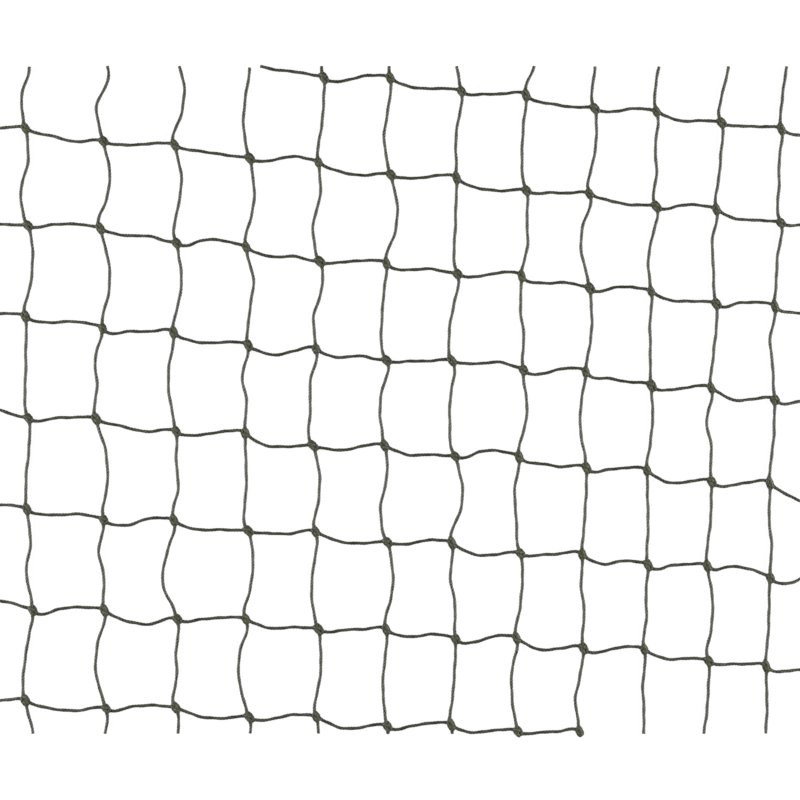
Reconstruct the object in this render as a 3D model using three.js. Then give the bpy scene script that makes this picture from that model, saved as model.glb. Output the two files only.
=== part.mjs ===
// A cut length of knotted safety net, lying flat on a surface, as one closed solid.
// Millimetres. X runs across the net, Y up the net and Z up from the surface.
// The origin is the middle of the underside.

import * as THREE from "three";
import { ConvexHull } from "three/addons/math/ConvexHull.js";
import { mergeVertices } from "three/addons/utils/BufferGeometryUtils.js";

// The cut piece
const CUT_WIDTH = 354;
const CUT_HEIGHT = 292;
const SHORTEST_END = 0.7; // a loose end shorter than this is not left on
const KNOT_MARGIN = 1; // a knot nearer than this to the cut at top or bottom is cut away

// The mesh: knots stand in columns and rows, counted from the top left
const COLUMNS = 12;
const ROWS = 8;
const MESH_WIDTH = 29.65; // mean distance between knots across
const MESH_HEIGHT = 40.1; // mean distance between knots down
const MIDDLE_X = 8.5; // the middle of the knots, from the middle of the piece
const MIDDLE_Y = -2;
const ROW_FALL = 2.87; // each knot lies this much lower than the one on its left
const ROW_CLOSING = 0.264; // the rows draw together by this much for each column to the right
const COLUMN_LEAN = -0.41; // each row is shifted this much from the one above it
const COLUMN_CLOSING = 0.115; // the columns draw together by this much for each row down
const NARROWING = 0.302; // half of how much narrower each mesh is than the one on its left
const COLUMN_BOW = 0.077; // the columns curve to the right at the top and bottom
const ZIGZAG_ACROSS = 0.62; // every other knot is pulled right and down, the rest left and up
const ZIGZAG_UP = -1.06;

// Places where the net is pulled out of its pattern, and how far the pull is felt, in meshes
const PULLS = [
  { column: 0.5, row: 2.4, reach: 1.2, across: 0.0, up: 1.9 },
  { column: 4.3, row: 2.4, reach: 1.0, across: 0.0, up: -1.6 },
  { column: 7.5, row: 3.2, reach: 1.0, across: 0.5, up: 1.4 },
  { column: 7.4, row: 7.2, reach: 1.2, across: -0.8, up: 2.0 },
  { column: 11.0, row: 6.0, reach: 0.8, across: 0.0, up: -2.8 },
  { column: 10.0, row: 0.0, reach: 0.8, across: -0.4, up: 1.4 },
  { column: 4.0, row: 0.0, reach: 0.6, across: 0.5, up: -1.7 },
  { column: 1.0, row: 4.0, reach: 0.5, across: -1.9, up: 0.4 },
  { column: 4.0, row: 4.0, reach: 0.5, across: -2.4, up: -0.7 },
  { column: 5.5, row: 3.0, reach: 0.6, across: -1.6, up: -0.5 },
  { column: 0.5, row: 6.0, reach: 0.6, across: 2.1, up: -1.0 },
  { column: 5.5, row: 6.0, reach: 0.7, across: 1.4, up: 0.0 },
  { column: 0.0, row: 7.0, reach: 0.5, across: -2.0, up: -0.5 },
];

// How far a bar strays from the straight line, a third and two thirds of the way along it:
// upwards for a bar across the net, to the right for a bar down the net
const BAR_SHAPES = {
  "|": { early: -0.1, late: -0.4 },
  "-": { early: -0.7, late: -0.1 },
  "^": { early: -0.4, late: 0.8 },
  "]": { early: 0.4, late: 0.4 },
  "n": { early: 1.2, late: 1.1 },
  "b": { early: 0.3, late: 1.7 },
  ")": { early: 2.1, late: 2.0 },
  "p": { early: 2.9, late: 1.3 },
  "}": { early: 3.2, late: 3.0 },
  "[": { early: -0.9, late: -1.2 },
  "v": { early: -1.9, late: -0.7 },
  "(": { early: -2.1, late: -2.0 },
  "~": { early: -1.4, late: 0.6 },
  "q": { early: -2.1, late: 0.1 },
  "d": { early: -1.1, late: -2.1 },
  "w": { early: -3.0, late: -1.9 },
  "{": { early: -3.1, late: -3.3 },
  "Z": { early: -3.6, late: -5.0 },
  "S": { early: 0.7, late: -1.8 },
  "u": { early: 3.1, late: -1.9 },
};

// The shapes of the bars across, a line for each row of knots,
// from the loose end on the left to the loose end on the right
const ACROSS_CHART = [
  "||||-^v|[^v||",
  "|d-|b(-(|[nv|",
  "|n^)~]^^^nvn|",
  "^^|vw~|b^|-w|",
  ")]d-wvv)[]w-Z",
  "b^~v[(^w|q])~",
  ")n{]v|~^w^v|-",
  "|(n(^w]v|||||",
];

// The shapes of the bars down, a line for each row of meshes,
// from the loose ends at the top to the loose ends at the bottom
const DOWN_CHART = [
  "||||||(}]|p|",
  "Su}d]d[[n^]-",
  "S}p)S}|b{dv-",
  ")})pS[[^n-]v",
  "|q(qv([)(nq]",
  "|}b])S}v]]]^",
  "SqZ)d)~n^^)]",
  "[{^{n[](d-]]",
  ")[||||||||||",
];

// The twine
const TWINE_COLOUR = 0x4b4c3d;
const TWINE_SIDE = 1.1; // the side of a square with a round 1.25 mm twine's area
const BAR_SAG = 0.5; // a bar droops this much towards the surface between its knots
const BAR_LIFT = 0.35; // and rises this share of how far it strays from straight
const LEAD = 2.5; // a bar runs straight for this length as it leaves a knot
const ACROSS_STEPS = 5; // straight stretches in a whole bar
const DOWN_STEPS = 6;
const SHORTEST_STEPS = 2;

// The knot: a slanted lump with a flat sole
const KNOT_LENGTH = 5.2;
const KNOT_WIDTH = 3.5;
const KNOT_HEIGHT = 3.4;
const KNOT_SLANT = -60; // degrees, from the upper left to the lower right
const LUMP_ACROSS = 0.45; // the lump's middle, from the knot's place
const LUMP_UP = 0.1;
const CROWN_SHARE = 0.22; // half the top's length and width, as a share of the knot's
const SOLE_SHARE = 0.26;

// How far a knot is turned from that slant, in degrees, and a chart of all the knots
const KNOT_TURNS = { "<": -12, "(": -6, "|": 0, ")": 6, ">": 13 };
const TURN_CHART = [
  "|||||||()))|",
  "))))|)()))|)",
  ">))|>()<|||(",
  "|<((|>>(<(|(",
  "))|(>)>(((((",
  "|(|>)>|)((|<",
  "(|)))|(|(||(",
  "))>))|||||||",
];

// Where the four bars join a knot. Every other knot is tied half turned, so its bars join it
// elsewhere. A bar runs to the right or down: its end's section faces one way, and it leads the
// other.
const PORT_HEIGHT = 1.45;
const UPRIGHT_PORTS = {
  up: { across: -0.42, up: 3.0, faces: -84, leads: -82 },
  left: { across: -1.55, up: 0.45, faces: 0, leads: -3 },
  right: { across: 2.75, up: -1.6, faces: -14, leads: -10 },
  down: { across: 0.88, up: -2.8, faces: -84, leads: -91 },
};
const TURNED_PORTS = {
  up: { across: -0.02, up: 2.7, faces: -92, leads: -97 },
  left: { across: -1.05, up: 0.8, faces: 0, leads: -3 },
  right: { across: 2.3, up: -1.6, faces: -16, leads: -24 },
  down: { across: 0.82, up: -2.8, faces: -84, leads: -91 },
};

const UP = new THREE.Vector3(0, 0, 1);
const CORNERS = [[1, -1], [1, 1], [-1, 1], [-1, -1]];
const CUT_SCAN = 400; // places along a bar that are tried for where it is cut
const skin = []; // the corners of the net's triangles, three at a time

// Where a knot lies, with the middle of the pattern as the start of its count
function knotPlace(column, row) {
  const c = column - (COLUMNS - 1) / 2;
  const r = row - (ROWS - 1) / 2;
  const zigzag = (column + row) % 2 === 0 ? 1 : -1;
  let x = MIDDLE_X + MESH_WIDTH * c + COLUMN_LEAN * r;
  x += COLUMN_BOW * r * r - NARROWING * c * c - COLUMN_CLOSING * c * r + ZIGZAG_ACROSS * zigzag;
  let y = MIDDLE_Y - ROW_FALL * c - MESH_HEIGHT * r;
  y += ROW_CLOSING * c * r + ZIGZAG_UP * zigzag;
  for (const pull of PULLS) {
    const away = Math.hypot(column - pull.column, row - pull.row) / pull.reach;
    const felt = Math.exp(-away * away);
    x += pull.across * felt;
    y += pull.up * felt;
  }
  return new THREE.Vector3(x, y, 0);
}

function isTied(place) {
  const insideAcross = Math.abs(place.x) < CUT_WIDTH / 2;
  return insideAcross && Math.abs(place.y) < CUT_HEIGHT / 2 - KNOT_MARGIN;
}

function isOnPiece(point) {
  return Math.abs(point.x) <= CUT_WIDTH / 2 && Math.abs(point.y) <= CUT_HEIGHT / 2;
}

// The four corners of the twine's section where it passes a point
function ringAt(centre, travel) {
  const side = new THREE.Vector3().crossVectors(UP, travel).normalize();
  const top = new THREE.Vector3().crossVectors(travel, side).normalize();
  const half = TWINE_SIDE / 2;
  return CORNERS.map(([across, upward]) =>
    centre.clone().addScaledVector(side, half * across).addScaledVector(top, half * upward));
}

// A level direction, counted from across the net and turned with its knot
function compass(degrees, turn) {
  const angle = THREE.MathUtils.degToRad(degrees) + turn;
  return new THREE.Vector3(Math.cos(angle), Math.sin(angle), 0);
}

function tieKnot(column, row) {
  const place = knotPlace(column, row);
  const turn = THREE.MathUtils.degToRad(KNOT_TURNS[TURN_CHART[row]?.[column] ?? "|"]);
  const ports = (column + row) % 2 === 0 ? UPRIGHT_PORTS : TURNED_PORTS;
  const knot = { place, turn, tied: isTied(place), ports: {} };
  for (const [name, port] of Object.entries(ports)) {
    const centre = new THREE.Vector3(port.across, port.up, PORT_HEIGHT);
    centre.applyAxisAngle(UP, turn).add(place);
    const ring = ringAt(centre, compass(port.faces, turn));
    const travel = compass(port.leads, turn);
    knot.ports[name] = { centre, travel, ring, tied: knot.tied, joined: false };
  }
  return knot;
}

function joinRings(first, second) {
  for (let corner = 0; corner < first.length; corner += 1) {
    const next = (corner + 1) % first.length;
    skin.push(first[corner], first[next], second[corner]);
    skin.push(first[next], second[next], second[corner]);
  }
}

function closeRing([a, b, c, d], atStart) {
  skin.push(...(atStart ? [a, c, b, a, d, c] : [a, b, c, a, c, d]));
}

function barCurve(start, end, shape) {
  const along = new THREE.Vector3().subVectors(end.centre, start.centre);
  const sideways = new THREE.Vector3().crossVectors(UP, along).normalize();
  const stray = (share, amount) => {
    const point = start.centre.clone().lerp(end.centre, share).addScaledVector(sideways, amount);
    point.z += BAR_LIFT * Math.abs(amount) - BAR_SAG;
    return point;
  };
  return new THREE.CatmullRomCurve3([
    start.centre,
    start.centre.clone().addScaledVector(start.travel, LEAD),
    stray(1 / 3, shape.early),
    stray(2 / 3, shape.late),
    end.centre.clone().addScaledVector(end.travel, -LEAD),
    end.centre,
  ]);
}

// A bar from one knot to the next, or to the cut where its next knot is not on the piece
function addBar(start, end, mark, fullSteps) {
  if (!start.tied && !end.tied) {
    return;
  }
  const curve = barCurve(start, end, BAR_SHAPES[mark]);
  const kept = [];
  for (let place = 0; place <= CUT_SCAN; place += 1) {
    const share = place / CUT_SCAN;
    if (isOnPiece(curve.getPointAt(share))) {
      kept.push(share);
    }
  }
  const from = start.tied ? 0 : kept.at(0);
  const to = end.tied ? 1 : kept.at(-1);
  if (kept.length === 0 || (to - from) * curve.getLength() < SHORTEST_END) {
    return;
  }
  const steps = Math.max(SHORTEST_STEPS, Math.round(fullSteps * (to - from)));
  const rings = [];
  for (let step = 0; step <= steps; step += 1) {
    const share = THREE.MathUtils.lerp(from, to, step / steps);
    rings.push(ringAt(curve.getPointAt(share), curve.getTangentAt(share)));
  }
  if (start.tied) {
    rings[0] = start.ring;
    start.joined = true;
  } else {
    closeRing(rings[0], true);
  }
  if (end.tied) {
    rings[steps] = end.ring;
    end.joined = true;
  } else {
    closeRing(rings[steps], false);
  }
  for (let step = 0; step < steps; step += 1) {
    joinRings(rings[step], rings[step + 1]);
  }
}

// The lump is the hull of its crown, its sole and the four bars' first sections.
// It is left open where a bar carries on from it.
function addKnot(knot) {
  const slant = THREE.MathUtils.degToRad(KNOT_SLANT) + knot.turn;
  const middle = new THREE.Vector3(LUMP_ACROSS, LUMP_UP, 0).add(knot.place);
  const level = (share, height) => CORNERS.map(([along, across]) => {
    const point = new THREE.Vector3(along * share * KNOT_LENGTH, across * share * KNOT_WIDTH, height);
    return point.applyAxisAngle(UP, slant).add(middle);
  });
  const ports = Object.values(knot.ports);
  const rings = ports.map((port) => port.ring);
  const lump = [...level(SOLE_SHARE, 0), ...level(CROWN_SHARE, KNOT_HEIGHT), ...rings.flat()];
  const joined = ports.filter((port) => port.joined);
  for (const face of new ConvexHull().setFromPoints(lump).faces) {
    const corners = [face.edge, face.edge.next, face.edge.prev].map((edge) => edge.head().point);
    if (!joined.some((port) => corners.every((corner) => port.ring.includes(corner)))) {
      skin.push(...corners);
    }
  }
}

// Knots are laid out one past the piece on every side, so that its loose ends lead to them
const knots = new Map();
for (let row = -1; row <= ROWS; row += 1) {
  for (let column = -1; column <= COLUMNS; column += 1) {
    knots.set(`${column} ${row}`, tieKnot(column, row));
  }
}
const knotAt = (column, row) => knots.get(`${column} ${row}`);

for (let row = 0; row < ROWS; row += 1) {
  for (let column = -1; column < COLUMNS; column += 1) {
    const start = knotAt(column, row).ports.right;
    addBar(start, knotAt(column + 1, row).ports.left, ACROSS_CHART[row][column + 1], ACROSS_STEPS);
  }
}
for (let row = -1; row < ROWS; row += 1) {
  for (let column = 0; column < COLUMNS; column += 1) {
    const start = knotAt(column, row).ports.down;
    addBar(start, knotAt(column, row + 1).ports.up, DOWN_CHART[row + 1][column], DOWN_STEPS);
  }
}
for (const knot of knots.values()) {
  if (knot.tied) {
    addKnot(knot);
  }
}

const netGeometry = mergeVertices(new THREE.BufferGeometry().setFromPoints(skin));
netGeometry.computeVertexNormals();
const twine = new THREE.MeshStandardMaterial({ color: TWINE_COLOUR, roughness: 0.7, metalness: 0 });
const net = new THREE.Mesh(netGeometry, twine);
net.name = "net";

const part = new THREE.Group();
part.add(net);

export default part;
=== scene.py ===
# %% [markdown]
# # A cut length of knotted safety net
# This net is tied by machine from dark olive twine. Each twine runs through it like a staircase:
# across to a knot, down to the next knot, and across again. A grid of plain tubes with a blob at
# each crossing would be quicker, but then no knot would stand up to a close look. So each twine is
# made here as its own long piece, and it is led through real knots that are pulled tight.
# The tables are in millimetres, as in the part's source, and the meshes are in metres.

# %% Load the frame
import math

import bpy
import numpy as np
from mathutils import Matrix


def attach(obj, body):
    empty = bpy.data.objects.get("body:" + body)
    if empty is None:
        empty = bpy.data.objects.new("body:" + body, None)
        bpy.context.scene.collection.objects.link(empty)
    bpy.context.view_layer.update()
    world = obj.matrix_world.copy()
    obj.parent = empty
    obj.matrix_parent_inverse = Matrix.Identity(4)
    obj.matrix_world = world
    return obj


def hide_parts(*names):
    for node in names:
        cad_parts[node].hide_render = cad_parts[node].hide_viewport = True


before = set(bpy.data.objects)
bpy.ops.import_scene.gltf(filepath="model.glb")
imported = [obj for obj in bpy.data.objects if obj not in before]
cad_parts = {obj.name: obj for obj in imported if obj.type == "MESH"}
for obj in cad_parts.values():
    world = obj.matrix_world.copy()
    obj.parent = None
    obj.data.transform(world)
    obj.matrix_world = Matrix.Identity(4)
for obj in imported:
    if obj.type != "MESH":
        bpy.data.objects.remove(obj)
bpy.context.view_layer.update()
MM = 0.001

# %% [markdown]
# ## Where the knots lie
# The net was knotted on a regular pitch, but a soft net never lies quite square. The rows fall to
# the right, the columns draw together, every other knot is pulled the other way, and in a few
# places the net is tugged out of its pattern. A formula with named amounts gives all of that, so
# one number can be changed without placing each knot again.

# %% Where the knots lie
COLUMNS = 12
ROWS = 8
CUT_WIDTH = 354
CUT_HEIGHT = 292
KNOT_MARGIN = 1
MESH_WIDTH = 29.65
MESH_HEIGHT = 40.1
MIDDLE_X = 8.5
MIDDLE_Y = -2
ROW_FALL = 2.87
ROW_CLOSING = 0.264
COLUMN_LEAN = -0.41
COLUMN_CLOSING = 0.115
NARROWING = 0.302
COLUMN_BOW = 0.077
ZIGZAG_ACROSS = 0.62
ZIGZAG_UP = -1.06

# Tugs on the net: column, row, reach in meshes, across, up
TUGS = [
    (0.5, 2.4, 1.2, 0.0, 1.9),
    (4.3, 2.4, 1.0, 0.0, -1.6),
    (7.5, 3.2, 1.0, 0.5, 1.4),
    (7.4, 7.2, 1.2, -0.8, 2.0),
    (11.0, 6.0, 0.8, 0.0, -2.8),
    (10.0, 0.0, 0.8, -0.4, 1.4),
    (4.0, 0.0, 0.6, 0.5, -1.7),
    (1.0, 4.0, 0.5, -1.9, 0.4),
    (4.0, 4.0, 0.5, -2.4, -0.7),
    (5.5, 3.0, 0.6, -1.6, -0.5),
    (0.5, 6.0, 0.6, 2.1, -1.0),
    (5.5, 6.0, 0.7, 1.4, 0.0),
    (0.0, 7.0, 0.5, -2.0, -0.5),
]


def is_even(column, row):
    return (column + row) % 2 == 0


def knot_place(column, row):
    right = column - (COLUMNS - 1) / 2
    below = row - (ROWS - 1) / 2
    zigzag = 1 if is_even(column, row) else -1
    x = MIDDLE_X + MESH_WIDTH * right + COLUMN_LEAN * below + COLUMN_BOW * below * below
    x += ZIGZAG_ACROSS * zigzag - NARROWING * right * right - COLUMN_CLOSING * right * below
    y = MIDDLE_Y - ROW_FALL * right - MESH_HEIGHT * below
    y += ZIGZAG_UP * zigzag + ROW_CLOSING * right * below
    for tug_column, tug_row, reach, across, up in TUGS:
        away = math.hypot(column - tug_column, row - tug_row) / reach
        x += across * math.exp(-away * away)
        y += up * math.exp(-away * away)
    return np.array([x, y])


def is_tied(column, row):
    x, y = knot_place(column, row)
    return abs(x) < CUT_WIDTH / 2 and abs(y) < CUT_HEIGHT / 2 - KNOT_MARGIN


tied = {(c, r) for r in range(-1, ROWS + 1) for c in range(-1, COLUMNS + 1) if is_tied(c, r)}
print("knots on the piece:", len(tied))

# %% [markdown]
# ## The knot, tied loosely
# Net makers use the sheet bend. One twine makes a loop, and the other comes up through the loop,
# goes round behind both of its legs and is tucked under itself. Modelling a tight knot by eye is
# hard, because every strand is pressed against three others. Tying it loosely is easy: the two
# short tables below give a few points on each strand, in the knot's own slanted directions. A
# strand starts and ends a short stub beyond two of the knot's four ports, where the bars go on.

# %% Tie the knot loosely
KNOT_SLANT = -60
KNOT_LOOSENESS = 1.9
KNOT_MIDDLE = {"upright": (0.4, 0.1), "turned": (-0.45, 0.15)}
STUB = 0.6

# Where each bar joins a knot: across, up, and the way it travels there, in degrees
PORTS = {
    "upright": {
        "up": (-0.42, 3.0, -82),
        "left": (-1.55, 0.45, -9),
        "right": (2.75, -1.6, -22),
        "down": (0.88, -2.8, -95),
    },
    "turned": {
        "up": (-0.82, 2.8, -82),
        "left": (-2.3, 1.6, -30),
        "right": (1.05, -0.8, -3),
        "down": (0.02, -2.7, -92),
    },
}

# Points on each strand: along the knot, across it, and height
LOOP_STRAND = [
    (-1.0, -1.2, 0.0),
    (-0.65, -0.4, 0.0),
    (-0.6, 0.5, 0.0),
    (0.0, 1.15, 0.0),
    (0.6, 0.5, 0.0),
    (0.65, -0.4, 0.0),
    (1.0, -1.0, 0.0),
]
WRAP_STRAND = [
    (-2.4, 0.4, 0.2),
    (-0.8, 0.35, 1.0),
    (0.0, 0.1, 0.9),
    (0.8, -0.1, 1.0),
    (1.7, -0.5, 0.0),
    (0.8, -0.75, -1.0),
    (-0.8, -0.6, -1.0),
    (-1.7, -0.2, 0.0),
    (-0.9, 0.0, 1.9),
    (-0.2, 0.3, 1.9),
    (0.15, 0.75, 0.2),
    (0.5, 1.5, -0.95),
    (1.8, 1.3, -0.2),
]


def compass(degrees):
    return np.array([math.cos(math.radians(degrees)), math.sin(math.radians(degrees))])


ALONG_KNOT = compass(KNOT_SLANT)
ACROSS_KNOT = compass(KNOT_SLANT + 90)


def beyond_port(way, name, distance):
    across, up, travel = PORTS[way][name]
    outward = 1 if name in ("right", "down") else -1
    return np.array([across, up]) + outward * distance * compass(travel)


def loose_strand(way, first, table, last):
    points = [[*beyond_port(way, first, STUB), 0]]
    for along, across, height in table:
        level = KNOT_MIDDLE[way] + KNOT_LOOSENESS * (along * ALONG_KNOT + across * ACROSS_KNOT)
        points.append([*level, KNOT_LOOSENESS * height])
    points.append([*beyond_port(way, last, STUB), 0])
    return np.array(points)


loose_knots = {}
for way in PORTS:
    loop = loose_strand(way, "left", LOOP_STRAND, "down")
    wrap = loose_strand(way, "up", WRAP_STRAND, "right")
    loose_knots[way] = (loop, wrap)
print("points on the loose strands:", [len(strand) for strand in loose_knots["upright"]])

# %% [markdown]
# ## The knot, pulled tight
# Now the twine does the work. At every step each point is drawn towards its neighbours, which
# shortens the strands, and any two places that are closer than squeezed twine is thick are
# pushed apart. After a thousand steps the strands lie against each other as in a real knot.
# Blender's own physics could pull a rope too, but this small loop is quick and gives the same
# knot each run.

# %% Pull the knot tight
SQUEEZED_WIDTH = 1.05
TOUCH_REACH = 1.6 * SQUEEZED_WIDTH
POINT_GAP = 0.25
PULL = 0.05
PULL_STEPS = 1000
STEPS_BETWEEN_COUNTS = 10
PUSHES = 4


def lengths_along(points):
    steps = np.linalg.norm(np.diff(points, axis=0), axis=1)
    return np.concatenate([[0.0], np.cumsum(steps)])


def evenly_spaced(points, gap):
    along = lengths_along(points)
    count = max(2, round(along[-1] / gap) + 1)
    places = np.linspace(0, along[-1], count)
    return np.column_stack([np.interp(places, along, axis) for axis in points.T])


def neighbour_pull(points):
    """The pull of its two neighbours on each point but the first and the last."""
    return points[:-2] + points[2:] - 2 * points[1:-1]


def close_places(points, loop_count):
    """Pairs of places that may touch, without those that are neighbours on one strand."""
    apart = np.linalg.norm(points[:, None] - points, axis=2)
    first, second = np.nonzero(np.triu(apart < TOUCH_REACH, 1))
    other_strand = (first < loop_count) != (second < loop_count)
    far_along = (second - first) * POINT_GAP > TOUCH_REACH
    return first[other_strand | far_along], second[other_strand | far_along]


def push_apart(points, first, second, free):
    gap = points[first] - points[second]
    distance = np.linalg.norm(gap, axis=1)
    overlap = np.maximum(0, SQUEEZED_WIDTH - distance)
    push = gap * (0.5 * overlap / distance)[:, None]
    total = np.zeros_like(points)
    np.add.at(total, first, push)
    np.add.at(total, second, -push)
    touching = np.concatenate([first[overlap > 0], second[overlap > 0]])
    touches = np.bincount(touching, minlength=len(points))
    return points + total * (free / np.sqrt(np.maximum(1, touches)))[:, None]


def pull_tight(loop, wrap):
    for step in range(PULL_STEPS):
        if step % STEPS_BETWEEN_COUNTS == 0:
            loop = evenly_spaced(loop, POINT_GAP)
            wrap = evenly_spaced(wrap, POINT_GAP)
            points = np.concatenate([loop, wrap])
            free = np.ones(len(points))
            free[[0, len(loop) - 1, len(loop), -1]] = 0
            first, second = close_places(points, len(loop))
        pull = np.zeros_like(points)
        pull[1:-1] = neighbour_pull(points)
        points = points + PULL * pull * free[:, None]
        for _ in range(PUSHES):
            points = push_apart(points, first, second, free)
        loop, wrap = np.split(points, [len(loop)])
    return loop, wrap


tight_knots = {way: pull_tight(*strands) for way, strands in loose_knots.items()}
for way, strands in tight_knots.items():
    lengths = [round(lengths_along(strand)[-1], 1) for strand in strands]
    print(way, "twine in loop and wrap, mm:", lengths)

# %% [markdown]
# ## Upright and turned knots
# The machine pulls hard on a knot, so it is pressed slanted and a little flat, and the closed end
# of its loop is spread wide, while the four bars that leave it keep their places. Half of the
# twines make all the loops and the others do all the wrapping. A twine comes into one knot from
# the left and into the next from above, so every other knot is the same knot turned half round.
# Both kinds stand on their lowest strand.

# %% Upright and turned knots
TWINE_RADIUS = 0.738
KNOT_FULLNESS = 1.12
LEG = 1.6
PRESSED_ALONG = {"loop": 1.18, "wrap": 0.96}
PRESSED_ACROSS = {"loop": 0.77, "wrap": 0.96}
PRESSED_HEIGHT = 0.62
PRESSED_MIDDLE = {"upright": (0.81, 0.35), "turned": (-0.42, -0.21)}
SKEW = {"upright": 0.18, "turned": -0.27}
RIM_START = -0.5
RIM_SPREAD = 0.8
RIM_SHIFT = -0.48
WRAP_SHIFT = -0.14
EASING = 0.25
EASING_PASSES = 3
SLANTED = np.array([ALONG_KNOT, ACROSS_KNOT])


def eased(points):
    points = points.copy()
    for _ in range(EASING_PASSES):
        points[1:-1] += EASING * neighbour_pull(points)
    return points


def held_in_knot(strand):
    """0 at the ends of a strand, 1 where it is well inside the knot."""
    along = lengths_along(strand)
    share = np.clip(np.minimum(along, along[-1] - along) / LEG, 0, 1)
    return share * share * (3 - 2 * share)


def pressed(way):
    """The loop and the wrap of a tight knot, pressed by the pull of the machine."""
    core = np.concatenate([strand[held_in_knot(strand) == 1, :2] for strand in tight_knots[way]])
    core = core @ SLANTED.T
    middle = (core.min(0) + core.max(0)) / 2
    strands = []
    for name, strand in zip(("loop", "wrap"), tight_knots[way]):
        place = strand[:, :2] @ SLANTED.T
        along, across = (place - middle).T
        if name == "loop":
            rim = np.clip(across - RIM_START, 0, 1)
            along = along * (1 + RIM_SPREAD * rim) + RIM_SHIFT * rim
        else:
            across = across + WRAP_SHIFT
        along = PRESSED_ALONG[name] * (along + SKEW[way] * across)
        moved = PRESSED_MIDDLE[way] + np.column_stack([along, PRESSED_ACROSS[name] * across])
        place += held_in_knot(strand)[:, None] * (moved - place)
        strands.append(eased(np.column_stack([place @ SLANTED, PRESSED_HEIGHT * strand[:, 2]])))
    return strands


def standing(way):
    loop, wrap = pressed(way)
    rise = TWINE_RADIUS * KNOT_FULLNESS - min(loop[:, 2].min(), wrap[:, 2].min())
    return {"loop": loop + [0, 0, rise], "wrap": wrap + [0, 0, rise], "height": rise}


def way_tied(column, row):
    return "upright" if is_even(column, row) else "turned"


finished_knots = {way: standing(way) for way in PORTS}
for way, knot in finished_knots.items():
    top = knot["wrap"][:, 2].max() + TWINE_RADIUS * KNOT_FULLNESS
    print(way, "bars leave at, mm:", round(knot["height"], 2), "top at, mm:", round(top, 2))

# %% [markdown]
# ## Charts of the net
# Twine remembers the spool that it was wound on, so the bars between the knots are bowed, some one
# way, some the other and some both ways. Each mark in the first two charts names one of the bows,
# so they can be read like a knitting pattern, and a bar is changed by writing another mark. The
# third chart tells how far each knot is turned out of its slant.

# %% Charts of the net
# How far a bar strays, a third and two thirds along: up for bars across, right for bars down
BOWS = {
    "|": (-0.1, -0.4),
    "-": (-0.7, -0.1),
    "^": (-0.4, 0.8),
    "]": (0.4, 0.4),
    "n": (1.2, 1.1),
    "b": (0.3, 1.7),
    ")": (2.1, 2.0),
    "p": (2.9, 1.3),
    "}": (3.2, 3.0),
    "[": (-0.9, -1.2),
    "v": (-1.9, -0.7),
    "(": (-2.1, -2.0),
    "~": (-1.4, 0.6),
    "q": (-2.1, 0.1),
    "d": (-1.1, -2.1),
    "w": (-3.0, -1.9),
    "{": (-3.1, -3.3),
    "Z": (-3.6, -5.0),
    "S": (0.7, -1.8),
    "u": (3.1, -1.9),
}
ACROSS_CHART = [
    "||||-^v|[^v||",
    "|d-|b(-(|[nv|",
    "|n^)~]^^^nvn|",
    "^^|vw~|b^|-w|",
    ")]d-wvv)[]w-Z",
    "b^~v[(^w|q])~",
    ")n{]v|~^w^v|-",
    "|(n(^w]v|||||",
]
DOWN_CHART = [
    "||||||(}]|p|",
    "Su}d]d[[n^]-",
    "S}p)S}|b{dv-",
    ")})pS[[^n-]v",
    "|q(qv([)(nq]",
    "|}b])S}v]]]^",
    "SqZ)d)~n^^)]",
    "[{^{n[](d-]]",
    ")[||||||||||",
]

# How far a knot is turned from its slant, in degrees
KNOT_TURNS = {"<": -12, "(": -6, "|": 0, ")": 6, ">": 13}
TURN_CHART = [
    "|||||||()))|",
    "))))|)()))|)",
    ">))|>()<|||(",
    "|<((|>>(<(|(",
    "))|(>)>(((((",
    "|(|>)>|)((|<",
    "(|)))|(|(||(",
    "))>))|||||||",
]
print("bows in use:", len(set("".join(ACROSS_CHART + DOWN_CHART))))
print("knots turned out of their slant:", sum(mark != "|" for mark in "".join(TURN_CHART)))

# %% [markdown]
# ## The way out of a knot
# Each knot was made once, round its own middle. To put it on the net, its points are turned by its
# chart, moved to its place, and in every other knot turned half round as well. A bar starts at
# the knot's port for its side, and a short lead keeps it in the direction in which it leaves.

# %% The way out of a knot
LEAD = 2.5
OPPOSITE = {"up": "down", "down": "up", "left": "right", "right": "left"}


def knot_turn(column, row):
    in_chart = 0 <= row < ROWS and 0 <= column < COLUMNS
    turn = KNOT_TURNS[TURN_CHART[row][column]] if in_chart else 0
    return turn if way_tied(column, row) == "upright" else turn + 180


def on_the_net(points, column, row):
    """Moves points from the knot's own place to its place and turn on the net."""
    turn = knot_turn(column, row)
    level = points[:, :1] * compass(turn) + points[:, 1:2] * compass(turn + 90)
    return np.column_stack([level + knot_place(column, row), points[:, 2]])


def way_out(column, row, name):
    """The port of a bar, where the knot's strand ends beyond it, and the end of its lead."""
    way = way_tied(column, row)
    own_name = name if way == "upright" else OPPOSITE[name]
    height = finished_knots[way]["height"]
    points = [[*beyond_port(way, own_name, distance), height] for distance in (0, STUB, LEAD)]
    return on_the_net(np.array(points), column, row)


middle_knot = (COLUMNS // 2, ROWS // 2)
right_port = way_out(*middle_knot, "right")[0]
print("port to the right of a middle knot, mm:", np.round(right_port, 1).tolist())

# %% [markdown]
# ## The bars between the knots
# A smooth curve runs through a few points: out of one knot, through the two points of the bow, and
# into the next knot. The bar sags between its knots, and a strong bow lifts it a little. No bar is
# quite steady, so a small wave that fades towards its ends is added last.

# %% The bars between the knots
BAR_SAG = 0.5
BAR_LIFT = 0.35
TURN_TO_BOW = 0.5
WAVE_SIZE = 0.25
QUICK_WAVE = 23
SLOW_WAVE = 9
WAVE_START = (2.7, 4.9)
POINTS_PER_SPAN = 40


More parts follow.
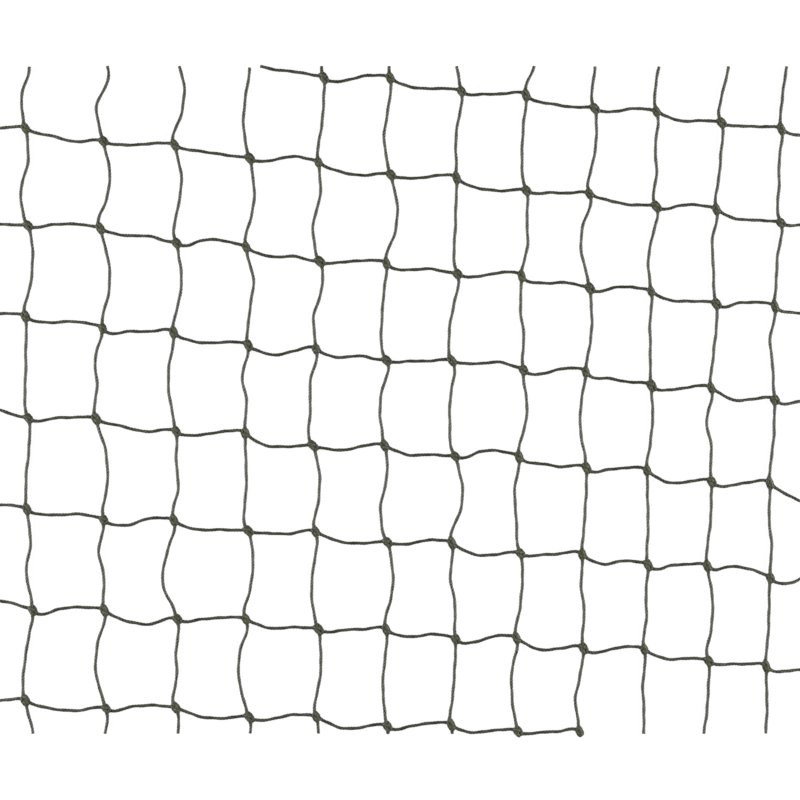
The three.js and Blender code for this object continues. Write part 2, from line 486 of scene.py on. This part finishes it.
def smooth_curve(points):
    """A curve through all the points that is even where they stand unevenly."""
    ends = [2 * points[0] - points[1], *points, 2 * points[-1] - points[-2]]
    share = np.linspace(0, 1, POINTS_PER_SPAN, endpoint=False)[:, None]
    gaps = [math.sqrt(np.linalg.norm(end - start)) for start, end in zip(ends, ends[1:])]
    spans = []
    for number, gap in enumerate(gaps[1:-1]):
        before, start, end, after = ends[number:number + 4]
        gap_before, gap_after = gaps[number], gaps[number + 2]
        out = gap * ((start - before) / gap_before - (end - before) / (gap_before + gap)) + end - start
        into = gap * ((after - end) / gap_after - (after - start) / (gap + gap_after)) + end - start
        bend = -3 * start + 3 * end - 2 * out - into
        turn = 2 * start - 2 * end + out + into
        spans.append(start + share * out + share**2 * bend + share**3 * turn)
    return np.concatenate(spans)


def turned_to_bow(port, lead, bow):
    """The end of a bar's lead, drawn part of the way towards its bow."""
    straight = port + LEAD * (bow - port) / np.linalg.norm(bow - port)
    return lead + TURN_TO_BOW * (straight - lead)


def bar_points(start, start_port, end, end_port, mark):
    """The bar from one knot's strand to the next knot's."""
    first_port, first_stub, first_lead = way_out(*start, start_port)
    last_port, last_stub, last_lead = way_out(*end, end_port)
    chord = last_port - first_port
    sideways = np.array([-chord[1], chord[0], 0]) / np.linalg.norm(chord[:2])
    bow = []
    for share, amount in zip((1 / 3, 2 / 3), BOWS[mark]):
        lift = np.array([0, 0, BAR_LIFT * abs(amount) - BAR_SAG])
        bow.append(first_port + share * chord + amount * sideways + lift)
    first_lead = turned_to_bow(first_port, first_lead, bow[0])
    last_lead = turned_to_bow(last_port, last_lead, bow[1])
    points = smooth_curve([first_stub, first_lead, *bow, last_lead, last_stub])
    share = np.linspace(0, 1, len(points))
    wave_start = np.dot(WAVE_START, start)
    wave = np.sin(QUICK_WAVE * share + wave_start) * np.cos(SLOW_WAVE * share - 2 * wave_start)
    return points + (WAVE_SIZE * np.sin(math.pi * share) * wave)[:, None] * sideways


knot_below = (middle_knot[0], middle_knot[1] + 1)
for mark in ("|", "{"):
    bar = bar_points(middle_knot, "down", knot_below, "up", mark)
    print("bar down from a middle knot with the bow", mark, "in mm:", round(lengths_along(bar)[-1], 1))

# %% [markdown]
# ## Knots of their own size
# No two knots are pulled quite alike, so each is drawn a little longer or wider than the last. Two
# waves over the columns and rows give these amounts, which looks like chance and is the same each
# run. The ends of the strands stay in place, so the bars still meet them.

# %% Knots of their own size
LONGER = 0.13
LONGER_WAVE = (1.9, 3.1)
WIDER = 0.08
WIDER_WAVE = (2.9, -1.7)


def growth(knot):
    """The shares by which a knot is longer and wider."""
    return LONGER * math.sin(np.dot(LONGER_WAVE, knot)), WIDER * math.sin(np.dot(WIDER_WAVE, knot))


def drawn_out(strand, knot):
    """A strand in a knot of its own length and width, with its ends left in place."""
    place = strand[:, :2] @ SLANTED.T - PRESSED_MIDDLE[way_tied(*knot)]
    moved = (place * growth(knot) * held_in_knot(strand)[:, None]) @ SLANTED
    return strand + np.column_stack([moved, np.zeros(len(strand))])


most_growth = np.max([growth(knot) for knot in tied], axis=0)
print("most that a knot is longer and wider:", np.round(most_growth, 2).tolist())

# %% [markdown]
# ## Leading the twines through the net
# A twine turns down in one knot, runs to the next, turns across there, and so on. It makes a loop
# in each of its knots or a wrap in each, and a turned knot is passed from its other end. Where the
# next knot is not on the piece, the twine ends at the cut. Joining these stretches in order gives
# each twine's path, as a person would follow it with a finger.

# %% Lead the twines through the net
SAME_PLACE = 0.01
MOSTLY_HELD = 0.5

# The strand that turns down or across in each kind of knot, and the order of its points
STRANDS = {
    ("upright", "down"): ("loop", 1),
    ("upright", "across"): ("wrap", 1),
    ("turned", "down"): ("wrap", -1),
    ("turned", "across"): ("loop", -1),
}


def on_the_piece(points):
    inside_across = np.abs(points[:, 0]) <= CUT_WIDTH / 2
    return inside_across & (np.abs(points[:, 1]) <= CUT_HEIGHT / 2)


def steps_of_twine(number):
    """The bars and knots that a twine passes, in order."""
    for row in range(-1, ROWS + 1):
        column = row + number
        if 0 <= row < ROWS and 0 <= column <= COLUMNS:
            yield "bar", (column - 1, row), "right", (column, row), "left", ACROSS_CHART[row][column]
        yield "knot", (column, row), "down"
        if row < ROWS and 0 <= column < COLUMNS:
            yield "bar", (column, row), "down", (column, row + 1), "up", DOWN_CHART[row + 1][column]
        yield "knot", (column, row + 1), "across"


def twine_paths(number):
    """The paths of a twine's stretches, each with a mark of 1 where it is in a knot."""
    paths = [[]]
    for kind, start, *rest in steps_of_twine(number):
        if kind == "knot" and start in tied:
            way = way_tied(*start)
            name, order = STRANDS[way, rest[0]]
            strand = drawn_out(finished_knots[way][name][::order], start)
            points = on_the_net(strand, *start)
            paths[-1].append((points[on_the_piece(points) | (held_in_knot(strand) > MOSTLY_HELD)], 1))
        elif kind == "bar" and (start in tied or rest[1] in tied):
            points = bar_points(start, *rest)
            paths[-1].append((points[on_the_piece(points)], 0))
        elif paths[-1]:
            paths.append([])
    return [path for path in paths if path]


def joined(path):
    points = np.concatenate([points for points, in_knot in path])
    marks = np.concatenate([np.full(len(points), float(in_knot)) for points, in_knot in path])
    steps = np.linalg.norm(np.diff(points, axis=0), axis=1)
    fresh = np.concatenate([[True], steps > SAME_PLACE])
    return points[fresh], marks[fresh]


twine_runs = [joined(path) for number in range(-ROWS, COLUMNS + 1) for path in twine_paths(number)]
twine_length = sum(lengths_along(points)[-1] for points, marks in twine_runs)
print("twines:", len(twine_runs))
print("twine in all, metres:", round(twine_length * MM, 2))

# %% [markdown]
# ## Even steps along each twine
# The skin of a twine needs rings at short, even steps, and shorter ones in the knots, where it
# bends sharply. The small corner where a bar meets its knot is rounded off by averaging, which is
# held back inside the knot so that its strands keep their shape.

# %% Even steps along each twine
BAR_STEP = 0.42
KNOT_STEP = 0.3
FEWEST_STEPS = 4
BLEND_RINGS = 6
HOLD = 0.92
HOLD_FROM = 0.3
ROUNDING_PASSES = 12


def spread(marks, reach):
    """Softens the step from 0 to 1 over a few places."""
    kernel = np.hanning(2 * reach + 1)
    padded = np.pad(marks, reach, mode="edge")
    return np.convolve(padded, kernel / kernel.sum(), mode="valid")


def stepped(points, marks):
    """A path with a point for each ring, and a share at each that tells how far it is in a knot."""
    step = np.where(marks[1:] > 0, KNOT_STEP, BAR_STEP)
    pace = np.concatenate([[0.0], np.cumsum(np.diff(lengths_along(points)) / step)])
    places = np.linspace(0, pace[-1], max(FEWEST_STEPS, round(pace[-1])) + 1)
    path = np.column_stack([np.interp(places, pace, axis) for axis in points.T])
    core = spread(np.interp(places, pace, marks), BLEND_RINGS)
    held = HOLD * np.clip(2 * (core - HOLD_FROM), 0, 1)[1:-1, None]
    for _ in range(ROUNDING_PASSES):
        path[1:-1] += EASING * (1 - held) * neighbour_pull(path)
    return path, core


twine_steps = [stepped(points, marks) for points, marks in twine_runs]
print("rings in all:", sum(len(path) for path, core in twine_steps))

# %% [markdown]
# ## The section of the twine
# Three plies are laid together to make the twine, so its section has three lobes. A circle of
# twelve points becomes that section when the points between the lobes are pulled in. It is then
# made a curve, because a curve can be swept along another.

# %% Draw the section of the twine
PLIES = 3
FLANK_SHARE = 0.97
GROOVE_SHARE = 0.83

# The four points of a ply: its crest, a flank, the groove beside it and the next ply's flank
PLY_SHARES = (1, FLANK_SHARE, GROOVE_SHARE, FLANK_SHARE)
SIDES = PLIES * len(PLY_SHARES)

bpy.ops.object.select_all(action="DESELECT")
bpy.ops.mesh.primitive_circle_add(vertices=SIDES, radius=TWINE_RADIUS * MM)
section = bpy.context.object
section.name = "twine_section"
for place, share in enumerate(PLY_SHARES):
    bpy.ops.object.mode_set(mode="EDIT")
    bpy.ops.mesh.select_all(action="DESELECT")
    bpy.ops.object.mode_set(mode="OBJECT")
    for vertex in section.data.vertices:
        vertex.select = vertex.index % len(PLY_SHARES) == place
    bpy.ops.object.mode_set(mode="EDIT")
    bpy.ops.transform.resize(value=(share, share, 1), center_override=(0, 0, 0))
    bpy.ops.object.mode_set(mode="OBJECT")
bpy.ops.object.convert(target="CURVE")
print("section:", section.type, len(section.data.splines[0].points), "points")

# %% [markdown]
# ## Laying the twines
# The section is swept along each path, and the tilt of the path's points turns it as it goes,
# which lays the three plies round each other. Modelling each ply as its own tube would look
# much the same and take three times the faces. Cheap twine is spun unevenly, so the bars have
# thick and thin stretches, and in the knots the twine is squeezed fuller.

# %% Lay the twines
LAY = 4.2
THICKNESS_WAVE = 0.1
QUICK_STRETCH = 1.1
SLOW_STRETCH = 2.7
TURN_PER_TWINE = 2.4


def lay_twine(name, path, core, turn):
    curve = bpy.data.curves.new(name, "CURVE")
    curve.dimensions = "3D"
    curve.bevel_mode = "OBJECT"
    curve.bevel_object = section
    spline = curve.splines.new("POLY")
    spline.points.add(len(path) - 1)
    along = lengths_along(path)
    stretches = np.sin(along / QUICK_STRETCH + turn) * np.sin(along / SLOW_STRETCH)
    thickness = 1 + (KNOT_FULLNESS - 1) * core + THICKNESS_WAVE * (1 - core) * stretches
    spline.points.foreach_set("co", np.column_stack([path * MM, np.ones(len(path))]).ravel())
    spline.points.foreach_set("tilt", turn + 2 * math.pi * along / LAY)
    spline.points.foreach_set("radius", thickness)
    twine = bpy.data.objects.new(name, curve)
    bpy.context.collection.objects.link(twine)
    return twine


twines = []
for number, (path, core) in enumerate(twine_steps, 1):
    twines.append(lay_twine(f"twine_{number:02d}", path, core, TURN_PER_TWINE * number))
print("twines laid:", len(twines))

# %% [markdown]
# ## Skin and ends
# A swept curve is made a mesh, so that its points can carry marks and maps. It is open where the
# twine was cut, so the open edges are found and filled on all the twines at once.

# %% Make meshes and fill the cut ends
bpy.ops.object.select_all(action="DESELECT")
for twine in twines:
    twine.select_set(True)
bpy.context.view_layer.objects.active = twines[0]
bpy.ops.object.convert(target="MESH")
bpy.ops.object.mode_set(mode="EDIT")
bpy.ops.mesh.select_mode(type="EDGE")
bpy.ops.mesh.select_all(action="DESELECT")
bpy.ops.mesh.select_non_manifold()
bpy.ops.mesh.fill_holes(sides=0)
bpy.ops.object.mode_set(mode="OBJECT")
bpy.data.objects.remove(section)
print("faces in all:", sum(len(twine.data.polygons) for twine in twines))

# %% [markdown]
# ## Two maps of the twine's skin
# The first map tells the finish where a place is: how far round the twine and how many
# millimetres along it. The second map is for baking. A twine is hundreds of times longer than it
# is thick, so its skin is folded there into rows, like lines of writing on a page, and the two cut
# ends lie above the last row. Each point also gets a mark that tells how far it is in a knot.

# %% Map the twine's skin
ROW_FILL = 0.9
END_SIZE = 0.4
END_MARGIN = 1.2
FIRST_END = 0.25
LAST_END = 0.75


def add_map(mesh, name, places):
    mesh.uv_layers.new(name=name).uv.foreach_set("vector", places.ravel())


def map_skin(twine, path, core):
    mesh = twine.data
    corner_vertex = np.empty(len(mesh.loops), dtype=np.int32)
    mesh.loops.foreach_get("vertex_index", corner_vertex)
    starts = np.empty(len(mesh.polygons), dtype=np.int32)
    mesh.polygons.foreach_get("loop_start", starts)
    sizes = np.diff(np.append(starts, len(mesh.loops)))
    ring, side = np.divmod(corner_vertex, SIDES)
    first_ring = np.repeat(np.minimum.reduceat(ring, starts), sizes)
    crosses_seam = np.minimum.reduceat(side, starts) + SIDES - 1 == np.maximum.reduceat(side, starts)
    around = side + SIDES * (np.repeat(crosses_seam, sizes) & (side == 0))
    along = lengths_along(path)

    rows = max(2, round(math.sqrt(along[-1] / (2 * math.pi * TWINE_RADIUS))))
    per_row = math.ceil((len(path) - 1) / rows)
    row, place = np.divmod(first_ring, per_row)
    across_page = (place + ring - first_ring) / per_row
    up_page = (row + ROW_FILL * around / SIDES) / (rows + 1)

    is_end = np.repeat(sizes == SIDES, sizes)
    turn = 2 * math.pi * side / SIDES
    end_size = END_SIZE / (rows + 1)
    end_across = np.where(ring > 0, LAST_END, FIRST_END) + end_size * np.cos(turn)
    end_up = 1 - end_size * (END_MARGIN - np.sin(turn))
    page = np.where(is_end, [end_across, end_up], [across_page, up_page]).T

    while mesh.uv_layers:
        mesh.uv_layers.remove(mesh.uv_layers[0])
    add_map(mesh, "along", np.column_stack([around / SIDES, along[ring]]))
    add_map(mesh, "OFBake", page)
    knot_mark = mesh.attributes.new("knot", "FLOAT", "POINT")
    knot_mark.data.foreach_set("value", np.repeat(core, SIDES))


for twine, (path, core) in zip(twines, twine_steps):
    map_skin(twine, path, core)
print("maps on each twine:", [skin_map.name for skin_map in twines[0].data.uv_layers])

# %% [markdown]
# ## A short way to write materials
# A material is a web of nodes. Written out one link at a time it is hard to read, so a node's
# output is wrapped here in a small class: sums on it add Math nodes, and one method adds any other
# node with its settings and its inputs.

# %% A short way to write materials
class Value:
    """A node's output, which may be used in sums."""

    def __init__(self, finish, socket):
        self.finish = finish
        self.socket = socket

    def math(self, operation, *inputs):
        return self.finish.node("ShaderNodeMath", {"operation": operation}, dict(enumerate(inputs)))

    def __add__(self, other):
        return self.math("ADD", self, other)

    def __sub__(self, other):
        return self.math("SUBTRACT", self, other)

    def __mul__(self, other):
        return self.math("MULTIPLY", self, other)

    def __rsub__(self, other):
        return self.math("SUBTRACT", other, self)

    __radd__ = __add__
    __rmul__ = __mul__

    def wave(self):
        """A wave between 0 and 1, with its crest where the value is 0."""
        return self.math("COSINE", self) * 0.5 + 0.5

    def part(self, name):
        return Value(self.finish, self.socket.node.outputs[name])


class Finish:
    """A material to which nodes are added by their type."""

    def __init__(self, name):
        self.material = bpy.data.materials.new(name)
        self.material.use_nodes = True
        self.tree = self.material.node_tree
        self.shader = self.tree.nodes["Principled BSDF"]

    def fill(self, node, inputs):
        for name, value in inputs.items():
            if isinstance(value, Value):
                self.tree.links.new(value.socket, node.inputs[name])
            else:
                node.inputs[name].default_value = value

    def node(self, kind, settings, inputs, output=0):
        node = self.tree.nodes.new(kind)
        for name, value in settings.items():
            setattr(node, name, value)
        self.fill(node, inputs)
        return Value(self, node.outputs[output])

    def mix(self, share, first, second):
        inputs = {0: share, 6: first, 7: second}
        return self.node("ShaderNodeMix", {"data_type": "RGBA"}, inputs, output=2)

    def spots(self, place, scale, detail):
        return self.node("ShaderNodeTexNoise", {}, {"Vector": place, "Scale": scale, "Detail": detail})


print("material helpers ready")

# %% [markdown]
# ## The finish of the twine
# The twine is dark olive plastic yarn. Each ply is a bundle of fine filaments, seen as streaks that
# run round it, and the grooves between the plies are painted darker, a painted shade. Colour and
# shine are uneven along the twine: some patches are paler, and some are glossy where others are
# dull. In the knots the twine is greener, a tone of its own, and painted lighter, a painted light,
# and their tops are painted paler, a painted highlight. All of that is mixed from the maps made
# above and from noise of three sizes, so it stays on the twine from every side.

# %% The finish of the twine
# Painted shade: the darker colour laid in the grooves between the plies
GROOVE_SHADE_COLOUR = (0.018, 0.019, 0.011, 1)
TWINE_OLIVE = (0.029, 0.030, 0.020, 1)
PALE_OLIVE = (0.076, 0.079, 0.049, 1)
# The knots' colour: a greener tone of their own, and lighter as painted light
KNOT_OLIVE_AND_LIGHT = (0.036, 0.039, 0.009, 1)
# Painted highlight: the paler colour on the tops of the knots
KNOT_TOP_HIGHLIGHT = (0.078, 0.083, 0.029, 1)
GROOVE_SHADE_AMOUNT = 0.5
FILAMENTS = 15
FILAMENT_SLOPE = 2.2
# Height in mm where the painted highlight on the knots begins, and how fast it grows
HIGHLIGHT_FROM_HEIGHT = 2.33
HIGHLIGHT_PER_MM = 0.9
BUMP_STRENGTH = 0.35
BUMP_DEPTH = 0.06

twine_finish = Finish("twine")
skin = twine_finish.node("ShaderNodeUVMap", {"uv_map": "along"}, {})
skin_place = twine_finish.node("ShaderNodeSeparateXYZ", {}, {0: skin})
around = skin_place.part("X")
millimetres = skin_place.part("Y")
crest = (around * (2 * math.pi * PLIES)).wave()
filament = (around * (2 * math.pi * FILAMENTS) + millimetres * FILAMENT_SLOPE).wave()
in_knot = twine_finish.node("ShaderNodeAttribute", {"attribute_name": "knot"}, {}, output="Fac")

spot = twine_finish.node("ShaderNodeTexCoord", {}, {}, output="Object")
level = twine_finish.node("ShaderNodeSeparateXYZ", {}, {0: spot}).part("Z") * (1 / MM)
blotch = twine_finish.spots(spot, 90.0, 2.0)
patch = twine_finish.spots(spot, 320.0, 1.0)
grain = twine_finish.spots(spot, 1400.0, 3.0)

paleness = blotch * 0.7 + patch * 1.4 + grain * 0.5 + filament * 0.25 - 1.0
yarn = twine_finish.mix(paleness, TWINE_OLIVE, PALE_OLIVE)
# In the knots the twine is greener, its own tone, and lighter, a painted light
yarn = twine_finish.mix(in_knot * (0.55 + grain * 0.4), yarn, KNOT_OLIVE_AND_LIGHT)
# Painted highlight: the tops of the knots are painted paler, more so the higher they stand
yarn = twine_finish.mix(in_knot * ((level - HIGHLIGHT_FROM_HEIGHT) * HIGHLIGHT_PER_MM), yarn, KNOT_TOP_HIGHLIGHT)
# Painted shade: the grooves between the plies are darkened in the colour
colour = twine_finish.mix((1 - crest) * GROOVE_SHADE_AMOUNT, yarn, GROOVE_SHADE_COLOUR)
bump = twine_finish.node("ShaderNodeBump", {}, {
    "Strength": BUMP_STRENGTH,
    "Distance": BUMP_DEPTH * MM,
    "Height": filament * 0.6 + grain * 0.4,
})
twine_finish.fill(twine_finish.shader, {
    "Base Color": colour,
    "Roughness": 0.1 + patch * 0.6 - filament * 0.06 + in_knot * 0.2,
    "Normal": bump,
    "Specular IOR Level": 0.7,
})

for twine in twines:
    twine.data.materials.clear()
    twine.data.materials.append(twine_finish.material)
    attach(twine, "root")
    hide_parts("net")
print("twines finished:", len(twines))

# %% [markdown]
# ## Floor and light
# The net lies on a white table that is lit from below as well as from above, so it casts hardly
# any shadow. Two soft lamps stand to the left and right, so the bars that run down the net catch
# more light than those that run across it.

# %% Floor and light
FLOOR_SIZE = 8
FLOOR_DROP = 0.1
FLOOR_GREY = 0.1
FLOOR_GLOW = 0.93
STUDIO_GLOW = 0.12
LAMP_ASIDE = 0.95
LAMP_HEIGHT = 0.55
LAMP_TILT = 60
LAMP_WIDTH = 0.5
LAMP_LENGTH = 0.8
LAMP_POWER = 12.2

bpy.ops.object.select_all(action="DESELECT")
bpy.ops.mesh.primitive_plane_add(size=FLOOR_SIZE, location=(0, 0, -FLOOR_DROP * MM))
floor = bpy.context.object
floor.name = "floor"
floor_finish = Finish("white_table")
floor_finish.fill(floor_finish.shader, {
    "Base Color": (FLOOR_GREY, FLOOR_GREY, FLOOR_GREY, 1),
    "Roughness": 0.9,
    "Emission Color": (1, 1, 1, 1),
    "Emission Strength": FLOOR_GLOW,
})
floor.data.materials.append(floor_finish.material)

world = bpy.data.worlds.new("studio")
bpy.context.scene.world = world
world.use_nodes = True
world.node_tree.nodes["Background"].inputs["Color"].default_value = (1, 1, 1, 1)
world.node_tree.nodes["Background"].inputs["Strength"].default_value = STUDIO_GLOW

for name, side in (("lamp_left", -1), ("lamp_right", 1)):
    bpy.ops.object.light_add(type="AREA", location=(side * LAMP_ASIDE, 0, LAMP_HEIGHT))
    lamp = bpy.context.object
    lamp.name = name
    lamp.rotation_euler = (0, side * math.radians(LAMP_TILT), 0)
    lamp.data.shape = "RECTANGLE"
    lamp.data.size = LAMP_WIDTH
    lamp.data.size_y = LAMP_LENGTH
    lamp.data.energy = LAMP_POWER
bpy.context.scene.view_settings.view_transform = "Standard"

# %% [markdown]
# ## Camera
# The photograph looks straight down on the net, and its frame is 350 mm wide at the level of the
# bars.

# %% Camera
FRAME_WIDTH = 350
BAR_LEVEL = 1.4
LENS = 85
SENSOR = 36

camera_height = (FRAME_WIDTH * LENS / SENSOR + BAR_LEVEL) * MM
bpy.ops.object.camera_add(location=(0, 0, camera_height))
camera = bpy.context.object
camera.data.lens = LENS
camera.data.sensor_width = SENSOR
camera.rotation_euler = (0, 0, 0)
bpy.context.scene.camera = camera
print("camera height in metres:", round(camera.location.z, 3))
